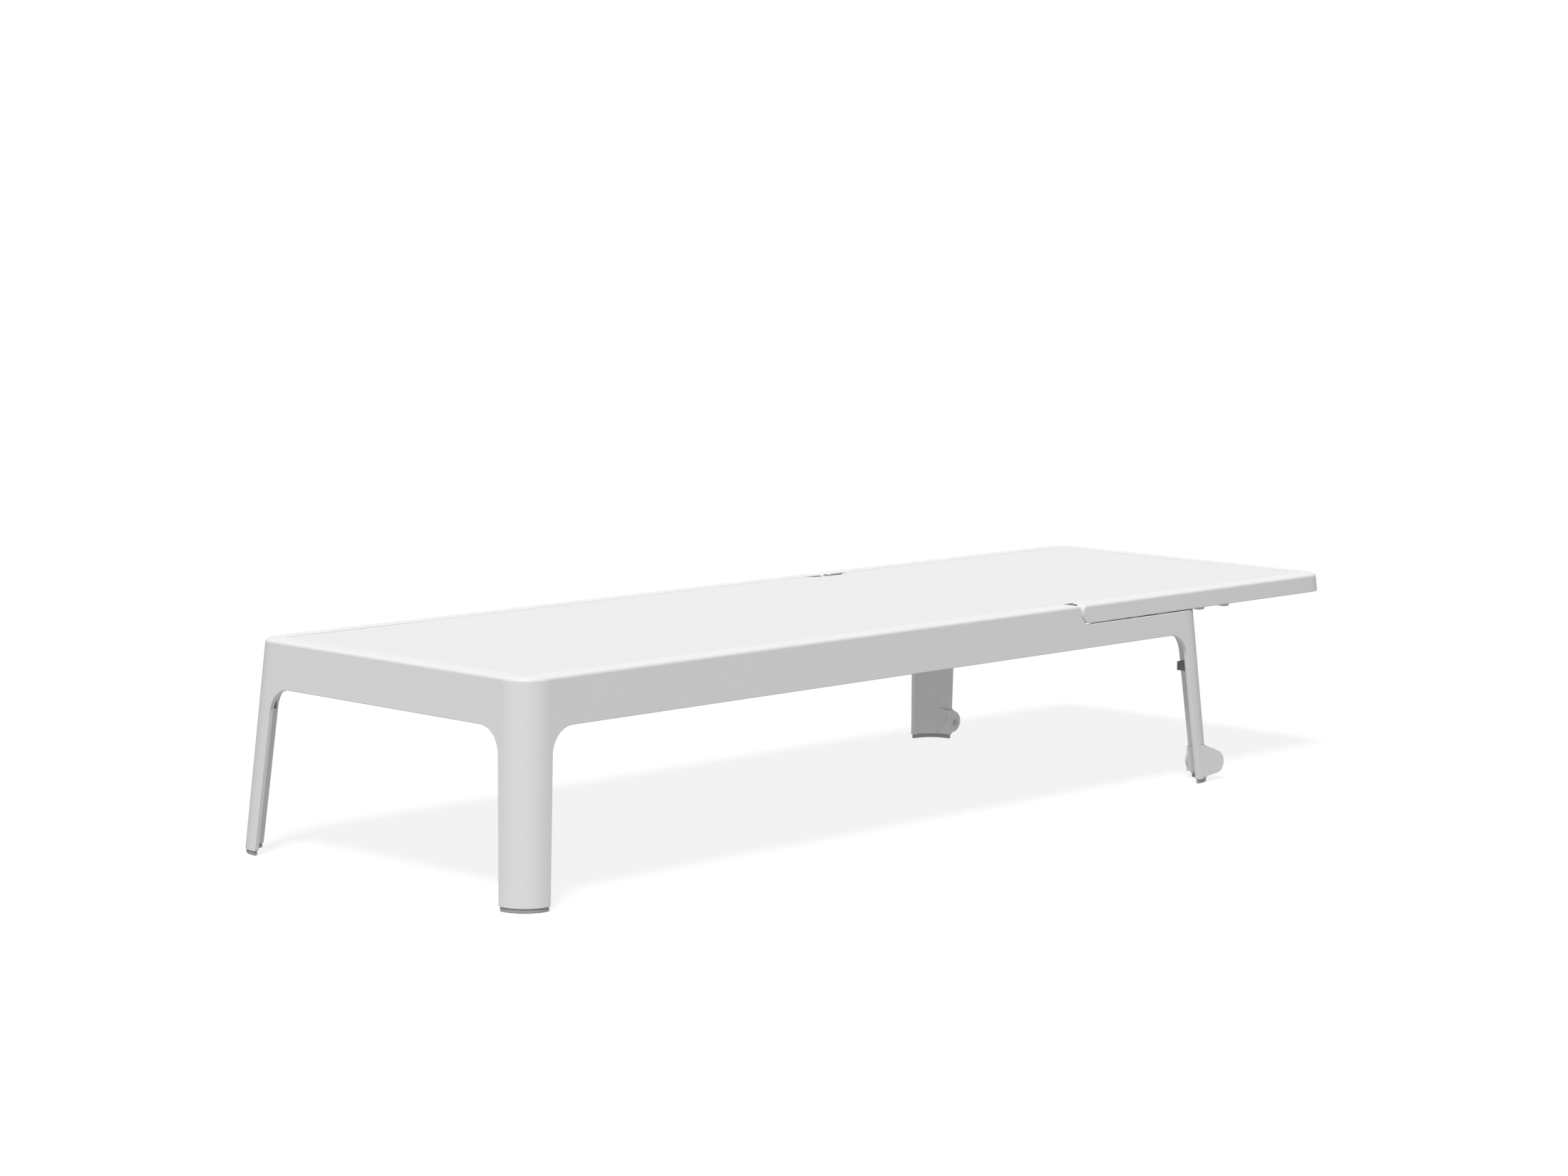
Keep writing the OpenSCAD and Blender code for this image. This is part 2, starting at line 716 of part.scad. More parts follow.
base_frame();
leg_pad(-1, 1);  // pad_foot_left
leg_pad(-1, -1);  // pad_foot_right
leg_pad(1, 1);  // pad_head_left
leg_pad(1, -1);  // pad_head_right
bumper(-1, bumper_foot);  // bumper_foot_left
mirror([0, 1, 0]) bumper(-1, bumper_foot);  // bumper_foot_right
bumper(1, bumper_head);  // bumper_head_left
mirror([0, 1, 0]) bumper(1, bumper_head);  // bumper_head_right
bumper_screws();
seat_brace(0);  // seat_brace_foot
seat_brace(1);  // seat_brace_middle
seat_brace(2);  // seat_brace_rear
brace_sockets();
ledge_brace();
seat_mesh();
side_rod(seat_rod_x0, seat_rod_x1, 1);  // seat_rod_left
side_rod(seat_rod_x0, seat_rod_x1, -1);  // seat_rod_right
end_rod(foot_x + end_rod_in);  // seat_rod_foot
hinge_pins();
prop_bracket();  // prop_bracket_left
mirror([0, 1, 0]) prop_bracket();  // prop_bracket_right
bracket_screws();
prop_pins();
roller_axles();
rest_buffers();
backrest_frame();
backrest_mesh();
side_rod(back_rod_x0, back_rod_x1, 1);  // back_rod_left
side_rod(back_rod_x0, back_rod_x1, -1);  // back_rod_right
end_rod(head_x - end_rod_in);  // back_rod_head
hinge_bushes();
rack();  // rack_left
mirror([0, 1, 0]) rack();  // rack_right
rack_screws();
backrest_brace(hinge_brace_s);  // backrest_brace_hinge
backrest_brace(head_brace_s);  // backrest_brace_head
prop_frame();
prop_sleeves();
prop_bushes();
roller_hub();  // roller_hub_left
roller_tyre();  // roller_tyre_left
mirror([0, 1, 0]) roller_hub();  // roller_hub_right
mirror([0, 1, 0]) roller_tyre();  // roller_tyre_right
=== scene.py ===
"""Looks of the reclining sun lounger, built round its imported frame."""

from __future__ import annotations

import logging
import math
from dataclasses import dataclass, field
from enum import Enum
from typing import Callable

import bmesh
import bpy
from mathutils import Matrix, Vector


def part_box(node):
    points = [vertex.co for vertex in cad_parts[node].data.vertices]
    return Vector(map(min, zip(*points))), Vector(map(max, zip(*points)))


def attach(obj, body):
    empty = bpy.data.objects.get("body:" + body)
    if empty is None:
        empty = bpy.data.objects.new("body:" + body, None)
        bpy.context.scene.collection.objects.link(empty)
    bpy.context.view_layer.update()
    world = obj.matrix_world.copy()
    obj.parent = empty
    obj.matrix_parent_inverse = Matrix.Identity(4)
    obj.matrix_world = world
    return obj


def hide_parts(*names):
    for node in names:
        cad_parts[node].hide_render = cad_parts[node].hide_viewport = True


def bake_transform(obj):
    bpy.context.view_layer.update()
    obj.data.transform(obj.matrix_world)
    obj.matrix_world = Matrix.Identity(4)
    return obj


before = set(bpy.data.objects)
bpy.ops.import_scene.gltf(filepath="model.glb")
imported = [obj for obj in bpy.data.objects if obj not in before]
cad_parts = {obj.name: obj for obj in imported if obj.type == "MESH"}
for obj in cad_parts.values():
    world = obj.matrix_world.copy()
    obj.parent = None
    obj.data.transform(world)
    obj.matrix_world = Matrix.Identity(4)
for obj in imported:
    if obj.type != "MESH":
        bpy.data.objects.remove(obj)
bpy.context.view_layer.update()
LOG = logging.getLogger("sun_lounger")
MM = 0.001
SHARP = math.radians(30)
FINE_STEPS = 3


class Body(Enum):
    """The groups of parts that move as one."""

    LEG_FRAME = "leg_frame"
    BACKREST = "backrest"
    PROP = "prop"
    ROLLER_LEFT = "roller_left"
    ROLLER_RIGHT = "roller_right"


# ---------------------------------------------------------------- shader maths


class Signal:
    """A shader socket that can be added, multiplied and compared like a number."""

    def __init__(self, graph: "Graph", socket: bpy.types.NodeSocket) -> None:
        """Wraps one output socket.

        Args:
            graph: the graph that the socket belongs to.
            socket: the output socket.
        """
        self.graph = graph
        self.socket = socket

    def _math(self, operation: str, *values: "Signal | float") -> "Signal":
        """Adds one Math node.

        Args:
            operation: the node's operation.
            values: its inputs, in order.

        Returns:
            The node's result.
        """
        return self.graph.node("ShaderNodeMath", {"operation": operation}, *values)

    def __add__(self, other: "Signal | float") -> "Signal":
        """Sum."""
        return self._math("ADD", self, other)

    def __sub__(self, other: "Signal | float") -> "Signal":
        """Difference."""
        return self._math("SUBTRACT", self, other)

    def __rsub__(self, other: float) -> "Signal":
        """A number minus this signal."""
        return self._math("SUBTRACT", other, self)

    def __mul__(self, other: "Signal | float") -> "Signal":
        """Product."""
        return self._math("MULTIPLY", self, other)

    def __truediv__(self, other: "Signal | float") -> "Signal":
        """Quotient."""
        return self._math("DIVIDE", self, other)

    __radd__ = __add__
    __rmul__ = __mul__

    def sine(self) -> "Signal":
        """Sine of an angle in radians."""
        return self._math("SINE", self)

    def power(self, exponent: float) -> "Signal":
        """This signal to a power."""
        return self._math("POWER", self, exponent)

    def clamped(self) -> "Signal":
        """The signal held between 0 and 1."""
        return self.graph.node("ShaderNodeClamp", {}, self)


class Graph:
    """The node tree of one material."""

    def __init__(self, name: str) -> None:
        """Starts a material with a Principled shader.

        Args:
            name: the material's name.
        """
        self.material = bpy.data.materials.new(name)
        self.material.use_nodes = True
        self.tree = self.material.node_tree
        self.shader = self.tree.nodes["Principled BSDF"]

    def node(self, kind: str, settings: dict, *values: object) -> Signal:
        """Adds a node.

        Args:
            kind: the node's type.
            settings: attributes that are set before anything is linked.
            values: numbers, colours or signals for its inputs, in order.

        Returns:
            Its first output.
        """
        made = self.tree.nodes.new(kind)
        for key, value in settings.items():
            setattr(made, key, value)
        inputs = [s for s in made.inputs if s.enabled]
        for socket, value in zip(inputs, values):
            self.feed(socket, value)
        return Signal(self, made.outputs[0])

    def feed(self, socket: bpy.types.NodeSocket, value: object) -> None:
        """Links or sets an input.

        Args:
            socket: the input.
            value: a signal to link, or a plain value to set.
        """
        if isinstance(value, Signal):
            self.tree.links.new(value.socket, socket)
        else:
            socket.default_value = value

    def place(self) -> Signal:
        """The surface point in the object's own coordinates, in metres."""
        made = self.tree.nodes.new("ShaderNodeTexCoord")
        return Signal(self, made.outputs["Object"])

    def axes(self, point: Signal) -> tuple[Signal, Signal, Signal]:
        """Splits a point.

        Args:
            point: a vector signal.

        Returns:
            Its x, y and z.
        """
        made = self.tree.nodes.new("ShaderNodeSeparateXYZ")
        self.feed(made.inputs[0], point)
        return tuple(Signal(self, s) for s in made.outputs)

    def noise(self, scale: float, detail: float) -> Signal:
        """Fractal noise between 0 and 1.

        Args:
            scale: features per metre.
            detail: number of octaves.

        Returns:
            The noise value.
        """
        settings = {"noise_dimensions": "3D"}
        return self.node("ShaderNodeTexNoise", settings, self.place(), scale, detail)

    def mix_colour(self, factor: Signal | float, one: tuple, two: tuple) -> Signal:
        """Mixes two colours.

        Args:
            factor: 0 gives one, 1 gives two.
            one: the first colour.
            two: the second colour.

        Returns:
            The mixed colour.
        """
        made = self.tree.nodes.new("ShaderNodeMix")
        made.data_type = "RGBA"
        self.feed(made.inputs["Factor"], factor)
        for socket, value in zip((made.inputs[6], made.inputs[7]), (one, two)):
            self.feed(socket, (*value, 1.0) if isinstance(value, tuple) else value)
        return Signal(self, made.outputs[2])

    def bump(self, height: Signal, strength: float, distance: float) -> Signal:
        """Turns a height signal into a normal.

        Args:
            height: the height.
            strength: the bump's strength.
            distance: the height that 1 stands for, in metres.

        Returns:
            The bent normal.
        """
        made = self.tree.nodes.new("ShaderNodeBump")
        made.inputs["Strength"].default_value = strength
        made.inputs["Distance"].default_value = distance
        self.feed(made.inputs["Height"], height)
        return Signal(self, made.outputs["Normal"])

    def put(self, **inputs: object) -> None:
        """Feeds the Principled shader.

        Args:
            inputs: input names, with _ for a space, and their values.
        """
        for name, value in inputs.items():
            self.feed(self.shader.inputs[name.replace("_", " ")], value)


Colour = tuple[float, float, float]


def darker(colour: Colour, share: float) -> Colour:
    """A colour with its brightness scaled.

    Args:
        colour: the colour.
        share: what its channels are multiplied by.

    Returns:
        The new colour.
    """
    return tuple(c * share for c in colour)


@dataclass(frozen=True)
class MouldedPlastic:
    """Satin injection-moulded plastic with a faint grain and slow colour drift."""

    name: str
    colour: Colour
    roughness: float = 0.42
    grain: float = 0.012
    grain_scale: float = 2600.0
    drift: float = 0.035
    scuffs_over: float = 0.62
    relief: float = 0.6 * MM
    coat: float = 0.12
    coat_roughness: float = 0.28
    specular: float = 0.45

    def material(self) -> bpy.types.Material:
        """Builds the material."""
        g = Graph(self.name)
        slow = g.noise(3.0, 2.0)
        cloud = g.noise(28.0, 4.0)
        fine = g.noise(self.grain_scale, 2.0)
        wave = g.noise(9.0, 1.0)
        scuff = (g.noise(160.0, 5.0) - self.scuffs_over) * 4.0
        tint = (slow * 0.6 + cloud * 0.4).clamped()
        g.put(
            Base_Color=g.mix_colour(tint, darker(self.colour, 1 - self.drift), self.colour),
            Roughness=(fine * 0.08 + scuff.clamped() * 0.1 + (self.roughness - 0.04)).clamped(),
            Normal=g.bump(fine * self.grain + wave * 0.6, 0.35, self.relief),
            Coat_Weight=self.coat,
            Coat_Roughness=self.coat_roughness,
            Specular_IOR_Level=self.specular,
        )
        return g.material


@dataclass(frozen=True)
class CoatedMesh:
    """Woven coated yarn, fine square weave with a diagonal twill running over it."""

    name: str
    colour: Colour
    yarn: float = 1.3 * MM
    relief: float = 0.25 * MM
    shade_drop: float = 0.9
    roughness: float = 0.55
    specular: float = 0.35
    sheen: float = 0.08
    sheen_roughness: float = 0.5

    def material(self) -> bpy.types.Material:
        """Builds the material."""
        g = Graph(self.name)
        x, y, _ = g.axes(g.place())
        turn = 2 * math.pi / self.yarn
        warp = (x * turn).sine()
        weft = (y * turn).sine()
        twill = ((x + y) * (turn / 2)).sine()
        weave = warp * weft * 0.5 + twill * 0.3 + 0.5
        thread = g.noise(900.0, 3.0)
        broad = g.noise(5.0, 2.0)
        shade = (weave * 0.55 + thread * 0.25 + broad * 0.2).clamped()
        hole = (0.5 - weave * 0.5).clamped().power(2.0)
        g.put(
            Base_Color=g.mix_colour(shade, darker(self.colour, self.shade_drop), self.colour),
            Roughness=(hole * 0.2 + thread * 0.1 + self.roughness).clamped(),
            Normal=g.bump(weave + thread * 0.3, 0.5, self.relief),
            Specular_IOR_Level=self.specular,
            Sheen_Weight=self.sheen,
            Sheen_Roughness=self.sheen_roughness,
        )
        return g.material


@dataclass(frozen=True)
class SoftRubber:
    """Matt grey elastomer with a dusty bloom and pin-head texture."""

    name: str
    colour: Colour
    dark: float = 0.8
    dusty: float = 1.35
    dust_height: float = 12 * MM
    roughness: float = 0.68
    relief: float = 0.3 * MM

    def material(self) -> bpy.types.Material:
        """Builds the material."""
        g = Graph(self.name)
        dust = g.noise(60.0, 5.0)
        pore = g.noise(1800.0, 2.0)
        _, _, z = g.axes(g.place())
        low = (1.0 - z / self.dust_height).clamped()
        tone = (dust * 0.7 + low * 0.3).clamped()
        g.put(
            Base_Color=g.mix_colour(
                tone, darker(self.colour, self.dark), darker(self.colour, self.dusty)
            ),
            Roughness=(dust * 0.15 + self.roughness).clamped(),
            Normal=g.bump(pore, 0.4, self.relief),
        )
        return g.material


@dataclass(frozen=True)
class Metal:
    """Bare or coated metal, brushed along one axis."""

    name: str
    colour: Colour
    metallic: float
    roughness: float
    brushed: float = 0.0
    lines_across: float = 900.0
    lines_along: float = 12.0
    shade_drop: float = 0.93
    relief: float = 0.2 * MM

    def material(self) -> bpy.types.Material:
        """Builds the material."""
        g = Graph(self.name)
        x, y, z = g.axes(g.place())
        across = (x * self.lines_across, z * self.lines_across)
        along = y * self.lines_along
        stretched = g.node("ShaderNodeCombineXYZ", {}, across[0], along, across[1])
        lines = g.node("ShaderNodeTexNoise", {}, stretched, 1.0, 4.0)
        peel = g.noise(420.0, 2.0)
        spots = g.noise(45.0, 4.0)
        surface = lines * self.brushed + peel * (1 - self.brushed)
        g.put(
            Base_Color=g.mix_colour(spots, darker(self.colour, self.shade_drop), self.colour),
            Metallic=self.metallic,
            Roughness=(surface * 0.14 + spots * 0.06 + (self.roughness - 0.1)).clamped(),
            Normal=g.bump(surface, 0.25, self.relief),
        )
        return g.material


@dataclass
class Finishes:
    """Every finish of the lounger, by the record's slot names, and one more for the pads."""

    made: dict[str, bpy.types.Material] = field(default_factory=dict)

    def __post_init__(self) -> None:
        """Builds the materials."""
        grey = (0.22, 0.222, 0.226)
        pale_grey = (0.36, 0.363, 0.366)
        white = (0.79, 0.795, 0.791)
        for slot, finish in {
            "white_plastic": MouldedPlastic("white_moulded_plastic", white),
            "white_nylon": MouldedPlastic("white_nylon", darker(white, 0.97), 0.38),
            "roller_plastic": MouldedPlastic("roller_plastic", darker(white, 0.85), 0.4),
            "mesh_rod": MouldedPlastic("mesh_rod", darker(white, 0.95), 0.3),
            "bush_nylon": MouldedPlastic("dark_nylon", (0.07, 0.07, 0.075), 0.5),
            "grey_rubber": SoftRubber("grey_rubber", grey),
            "pad": SoftRubber("pale_grey_rubber", pale_grey),
            "mesh": CoatedMesh("woven_mesh", (0.835, 0.837, 0.833)),
            "brace_tube": Metal("coated_tube", (0.74, 0.745, 0.74), 0.0, 0.4),
            "prop_steel": Metal("coated_steel", (0.62, 0.625, 0.63), 0.0, 0.42),
            "dark_steel": Metal("black_zinc", (0.09, 0.09, 0.092), 0.6, 0.5),
            "steel": Metal("stainless_steel", (0.6, 0.6, 0.61), 1.0, 0.32, 0.8),
        }.items():
            self.made[slot] = finish.material()

    def dress(self, piece: bpy.types.Object, slot: str, finish: str = "") -> None:
        """Puts a finish on a piece.

        Args:
            piece: the piece.
            slot: the record's material slot.
            finish: the finish, if it isn't the slot's usual one.
        """
        piece.data.materials.clear()
        piece.data.materials.append(self.made[finish or slot])


# ---------------------------------------------------------------- mesh helpers


def only(piece: bpy.types.Object) -> None:
    """Selects one object alone and makes it active.

    Args:
        piece: the object.
    """
    if bpy.context.object and bpy.context.object.mode != "OBJECT":
        bpy.ops.object.mode_set(mode="OBJECT")
    bpy.ops.object.select_all(action="DESELECT")
    piece.select_set(True)
    bpy.context.view_layer.objects.active = piece


def apply_all(piece: bpy.types.Object) -> None:
    """Applies every modifier of a piece.

    Args:
        piece: the piece.
    """
    only(piece)
    for modifier in list(piece.modifiers):
        bpy.ops.object.modifier_apply(modifier=modifier.name)


def bevel(piece: bpy.types.Object, width: float, segments: int) -> None:
    """Rounds a piece's sharp edges.

    Args:
        piece: the piece.
        width: the radius, in metres.
        segments: steps across each rounded edge.
    """
    made = piece.modifiers.new("rounded_edges", "BEVEL")
    made.limit_method = "ANGLE"
    made.angle_limit = SHARP
    made.width = width
    made.segments = segments
    made.profile = 0.5
    made.use_clamp_overlap = True
    made.miter_outer = "MITER_ARC"
    apply_all(piece)


def smooth(piece: bpy.types.Object, angle: float = 32.0) -> None:
    """Shades a piece smooth except at its creases, its flat faces kept flat.

    Args:
        piece: the piece.
        angle: edges sharper than this stay creased, in degrees.
    """
    only(piece)
    bpy.ops.object.shade_smooth_by_angle(angle=math.radians(angle))
    made = piece.modifiers.new("flat_faces_stay_flat", "WEIGHTED_NORMAL")
    made.mode = "FACE_AREA"
    made.weight = 100
    made.keep_sharp = True
    apply_all(piece)


def bevel_some(
    piece: bpy.types.Object,
    width: float,
    segments: int,
    chosen: Callable[[Vector], bool],
) -> None:
    """Rounds those of a piece's sharp edges whose middle is chosen.

    Args:
        piece: the piece.
        width: the radius, in metres.
        segments: steps across each edge.
        chosen: tells from an edge's middle whether it is rounded.
    """
    shape = bmesh.new()
    shape.from_mesh(piece.data)
    layer = shape.edges.layers.float.get("bevel_weight_edge")
    layer = layer or shape.edges.layers.float.new("bevel_weight_edge")
    for edge in shape.edges:
        sharp = len(edge.link_faces) == 2 and edge.calc_face_angle() > SHARP
        middle = (edge.verts[0].co + edge.verts[1].co) / 2
        edge[layer] = 1.0 if sharp and chosen(middle) else 0.0
    shape.to_mesh(piece.data)
    shape.free()
    made = piece.modifiers.new("chosen_edges", "BEVEL")
    made.limit_method = "WEIGHT"
    made.width = width
    made.segments = segments
    made.miter_outer = "MITER_SHARP"
    made.use_clamp_overlap = False
    apply_all(piece)


def cad_copy(node: str, name: str, flat: float = 0.3) -> bpy.types.Object:
    """A clean copy of a CAD node's mesh, with its flat faces whole.

    Args:
        node: the CAD node.
        name: the copy's name.
        flat: faces that meet within this angle are joined, in degrees.

    Returns:
        The copy.
    """
    piece = bpy.data.objects.new(name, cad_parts[node].data.copy())
    bpy.context.scene.collection.objects.link(piece)
    only(piece)
    bpy.ops.object.mode_set(mode="EDIT")
    bpy.ops.mesh.select_all(action="SELECT")
    bpy.ops.mesh.remove_doubles(threshold=0.002 * MM)
    bpy.ops.mesh.dissolve_limited(angle_limit=math.radians(flat))
    bpy.ops.object.mode_set(mode="OBJECT")
    return piece


@dataclass
class SubAssembly:
    """A set of pieces that move with one body."""

    finishes: Finishes
    body: Body

    def settle(self, piece: bpy.types.Object, slot: str, node: str, finish: str = "") -> None:
        """Dresses a piece and makes it ride.

        Args:
            piece: the finished piece.
            slot: the record's material slot.
            node: the CAD node that it stands for.
            finish: the finish, if it isn't the slot's usual one.
        """
        self.finishes.dress(piece, slot, finish)
        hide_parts(node)
        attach(piece, self.body.value)
        LOG.info("%s rides on %s, %d faces", piece.name, self.body.value, len(piece.data.polygons))

    def rounded(
        self,
        node: str,
        slot: str,
        radius: float,
        segments: int = 2,
        finish: str = "",
    ) -> None:
        """Makes a copy of a node with rounded edges, in the node's place.

        Args:
            node: the CAD node.
            slot: the record's material slot.
            radius: the edges' radius, in metres.
            segments: steps across each edge.
            finish: the finish, if it isn't the slot's usual one.
        """
        piece = cad_copy(node, node + "_piece")
        bevel(piece, radius, segments)
        smooth(piece)
        self.settle(piece, slot, node, finish)


@dataclass
class Shell(SubAssembly):
    """What the two big mouldings share: broad outer edges, finer inner ones."""

    outer: float = 1.3 * MM
    inner: float = 0.4 * MM
    edge_band: float = 12 * MM
    top_band: float = 0.1 * MM
    tube_edge: float = 0.4 * MM
    rod_edge: float = 0.8 * MM
    fixing_edge: float = 0.6 * MM
    low: Vector = field(init=False)
    high: Vector = field(init=False)
    half_top: float = field(init=False)

    def is_outer(self, point: Vector) -> bool:
        """Whether a point lies on the moulding's outside.

        Args:
            point: the point.

        Returns:
            True near the outer faces, away from the lip and the ledge.
        """
        side = abs(point.y) > self.half_top - self.edge_band
        ends = point.x < self.low.x + self.edge_band or point.x > self.high.x - self.edge_band
        return side or ends

    def shell(self, node: str, name: str) -> None:
        """Makes one moulding.

        Args:
            node: the CAD node.
            name: the piece's name.
        """
        piece = cad_copy(node, name)
        self.low, self.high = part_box(node)
        tops = [v.co for v in piece.data.vertices if v.co.z > self.high.z - self.top_band]
        self.half_top = max(abs(c.y) for c in tops)
        self.low.x, self.high.x = min(c.x for c in tops), max(c.x for c in tops)
        bevel_some(piece, self.outer, FINE_STEPS, self.is_outer)
        bevel_some(piece, self.inner, 2, lambda point: not self.is_outer(point))
        smooth(piece)
        self.settle(piece, "white_plastic", node)


@dataclass
class LegFrame(Shell):
    """The moulded leg frame with its pads, bumpers, braces and hinge parts."""

    pad_edge: float = 1.6 * MM
    bumper_edge: float = 2.0 * MM
    bracket_edge: float = 0.8 * MM
    socket_edge: float = 1.0 * MM
    buffer_edge: float = 0.8 * MM

    def build(self) -> None:
        """Makes every piece of the leg frame."""
        self.shell("base_frame", "leg_frame_shell")
        for end in ("foot", "head"):
            for side in ("left", "right"):
                self.rounded(f"pad_{end}_{side}", "grey_rubber", self.pad_edge, FINE_STEPS, "pad")
                self.rounded(f"bumper_{end}_{side}", "grey_rubber", self.bumper_edge, FINE_STEPS)
        for place in ("seat_brace_foot", "seat_brace_middle", "seat_brace_rear", "ledge_brace"):
            self.rounded(place, "brace_tube", self.tube_edge)
        for side in ("left", "right"):
            self.rounded(f"prop_bracket_{side}", "prop_steel", self.bracket_edge)
            self.rounded(f"seat_rod_{side}", "mesh_rod", self.rod_edge)
        self.rounded("seat_rod_foot", "mesh_rod", self.rod_edge)
        self.rounded("brace_sockets", "white_nylon", self.socket_edge)
        self.rounded("rest_buffers", "grey_rubber", self.buffer_edge)
        self.rounded("bumper_screws", "dark_steel", self.fixing_edge)
        for node in ("hinge_pins", "bracket_screws", "prop_pins", "roller_axles"):
            self.rounded(node, "steel", self.fixing_edge)


@dataclass
class Backrest(Shell):
    """The reclining backrest frame with its racks, rods, bushes and braces."""

    rack_edge: float = 0.7 * MM
    bush_edge: float = 0.4 * MM

    def build(self) -> None:
        """Makes every piece of the backrest."""
        self.shell("backrest_frame", "backrest_shell")
        for side in ("left", "right"):
            self.rounded(f"back_rod_{side}", "mesh_rod", self.rod_edge)
            self.rounded(f"rack_{side}", "white_nylon", self.rack_edge)
        self.rounded("back_rod_head", "mesh_rod", self.rod_edge)
        self.rounded("hinge_bushes", "bush_nylon", self.bush_edge)
        self.rounded("rack_screws", "steel", self.fixing_edge)
        for place in ("hinge", "head"):
            self.rounded(f"backrest_brace_{place}", "brace_tube", self.tube_edge)


@dataclass
class Prop(SubAssembly):
    """The swinging prop that holds the backrest up."""

    bar_edge: float = 1.2 * MM
    sleeve_edge: float = 0.4 * MM
    bush_edge: float = 0.3 * MM

    def build(self) -> None:
        """Makes every piece of the prop."""
        self.rounded("prop_frame", "prop_steel", self.bar_edge, FINE_STEPS)
        self.rounded("prop_sleeves", "bush_nylon", self.sleeve_edge)
        self.rounded("prop_bushes", "bush_nylon", self.bush_edge)


@dataclass
class Roller(SubAssembly):
    """One roller: a hub and its soft band."""

    side: str = "left"
    edge: float = 0.9 * MM

    def build(self) -> None:
        """Makes the roller's pieces."""
        self.rounded(f"roller_hub_{self.side}", "roller_plastic", self.edge, FINE_STEPS)
        self.rounded(f"roller_tyre_{self.side}", "grey_rubber", self.edge, FINE_STEPS)


@dataclass
class MeshTop:
    """The one sheet of woven mesh that spans the seat and the backrest."""

    finishes: Finishes
    step: float = 8 * MM
    thickness: float = 0.8 * MM
    corner: float = 22 * MM
    slit_ahead: float = 66 * MM
    slit_behind: float = 26 * MM
    slit_width: float = 12 * MM
    slit_lead: float = 14 * MM
    slit_round_ahead: float = 0.35
    slit_round_behind: float = 0.3
    bend_reach: float = 34 * MM
    sag: float = 0.8 * MM
    tuck: float = 5.7 * MM
    rise_over: float = 2.6 * MM
    lift: float = 1.9 * MM
    sag_spread: float = 0.4
    first_step: float = 4 * MM
    crease: float = 60.0

    def __post_init__(self) -> None:
        """Reads the sheet's place from the frame."""
        seat_low, seat_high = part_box("seat_mesh")
        back_low, back_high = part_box("backrest_mesh")
        self.x0, self.x1 = seat_low.x, back_high.x
        self.half = seat_high.y
        self.top = seat_high.z
        self.rim_edge = self.half - self.tuck
        self.hinge = (seat_high.x + back_low.x) / 2

    def half_width(self, x: float) -> float:
        """Half the sheet's width at a place along it.

        Args:
            x: the place, in metres.

        Returns:
            The half width, less at the rounded ends and along the slits beside the hinge.
        """
        end = min(x - self.x0, self.x1 - x)
        inset = 0.0
        if end < self.corner:
            inset = self.corner - math.sqrt(max(self.corner**2 - (self.corner - end) ** 2, 0.0))
        return self.half - inset - self.slit(x - self.hinge)

    def slit(self, along: float) -> float:
        """How far the sheet's edge is drawn in beside the hinge.

        Args:
            along: distance from the hinge, towards the head end.

        Returns:
            The distance, which shows as a slit where it is more than the tucked width.
        """
        reach, rounding = self.slit_ahead, self.slit_round_ahead
        if along > 0:
            reach, rounding = self.slit_behind, self.slit_round_behind
        share = 1 - abs(along) / reach
        if share > 0:
            return self.tuck + self.slit_width * share**rounding
        return self.tuck * max(0.0, 1 + share * reach / self.slit_lead)

    def height(self, x: float, y: float) -> float:
        """Height of the sheet's upper face.

        Args:
            x: place along the lounger.
            y: place across it.

        Returns:
            The height: low in the groove under the lip, level with the rim a few millimetres in,
            with the faint hollow of a stretched sheet in the middle.
        """
        inside = min(self.rim_edge - abs(y), x - self.x0 - self.tuck, self.x1 - self.tuck - x)
        rise = min(max(inside / self.rise_over, 0.0), 1.0)
        length = (x - self.x0) / (self.x1 - self.x0)
        arch = math.sin(math.pi * min(max(length, 0.0), 1.0)) ** self.sag_spread
        hollow = (1 - (y / self.half) ** 2) * arch
        return self.top + self.lift * rise * rise * (3 - 2 * rise) - self.sag * hollow

    def lines(self, start: float, end: float) -> list[float]:
        """Places of the sheet's grid lines between two ends, close together beside the rim.

        Args:
            start: the first place.
            end: the last place.

        Returns:
            The places.
        """
        near = [0.0, self.tuck, self.tuck + self.rise_over / 3, self.tuck + self.rise_over * 2 / 3]
        near += [self.tuck + self.rise_over, self.tuck + self.rise_over + self.first_step]
        count = round((end - start - 2 * near[-1]) / self.step)
        middle = (end - start - 2 * near[-1]) / count
        places = [start + d for d in near]
        places += [start + near[-1] + middle * i for i in range(1, count)]
        return places + [end - d for d in reversed(near)]

    def build(self) -> None:
        along, across = self.lines(self.x0, self.x1), self.lines(-self.half, self.half)
        points = []
        for x in along:
            for y in across:
                drawn = y * self.half_width(x) / self.half
                points.append((x, drawn, self.height(x, y)))
        wide = len(across)
        faces = [
            (i * wide + j, (i + 1) * wide + j, (i + 1) * wide + j + 1, i * wide + j + 1)
            for i in range(len(along) - 1)
            for j in range(wide - 1)
        ]
        shape = bpy.data.meshes.new("mesh_top_sheet")
        shape.from_pydata(points, [], faces)
        sheet = bpy.data.objects.new("mesh_top_sheet", shape)
        bpy.context.scene.collection.objects.link(sheet)
        made = sheet.modifiers.new("cloth_thickness", "SOLIDIFY")
        made.thickness = self.thickness
        made.offset = -1.0
        apply_all(sheet)
        smooth(sheet, self.crease)
        self.finishes.dress(sheet, "mesh")
        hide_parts("seat_mesh", "backrest_mesh")
        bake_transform(sheet)


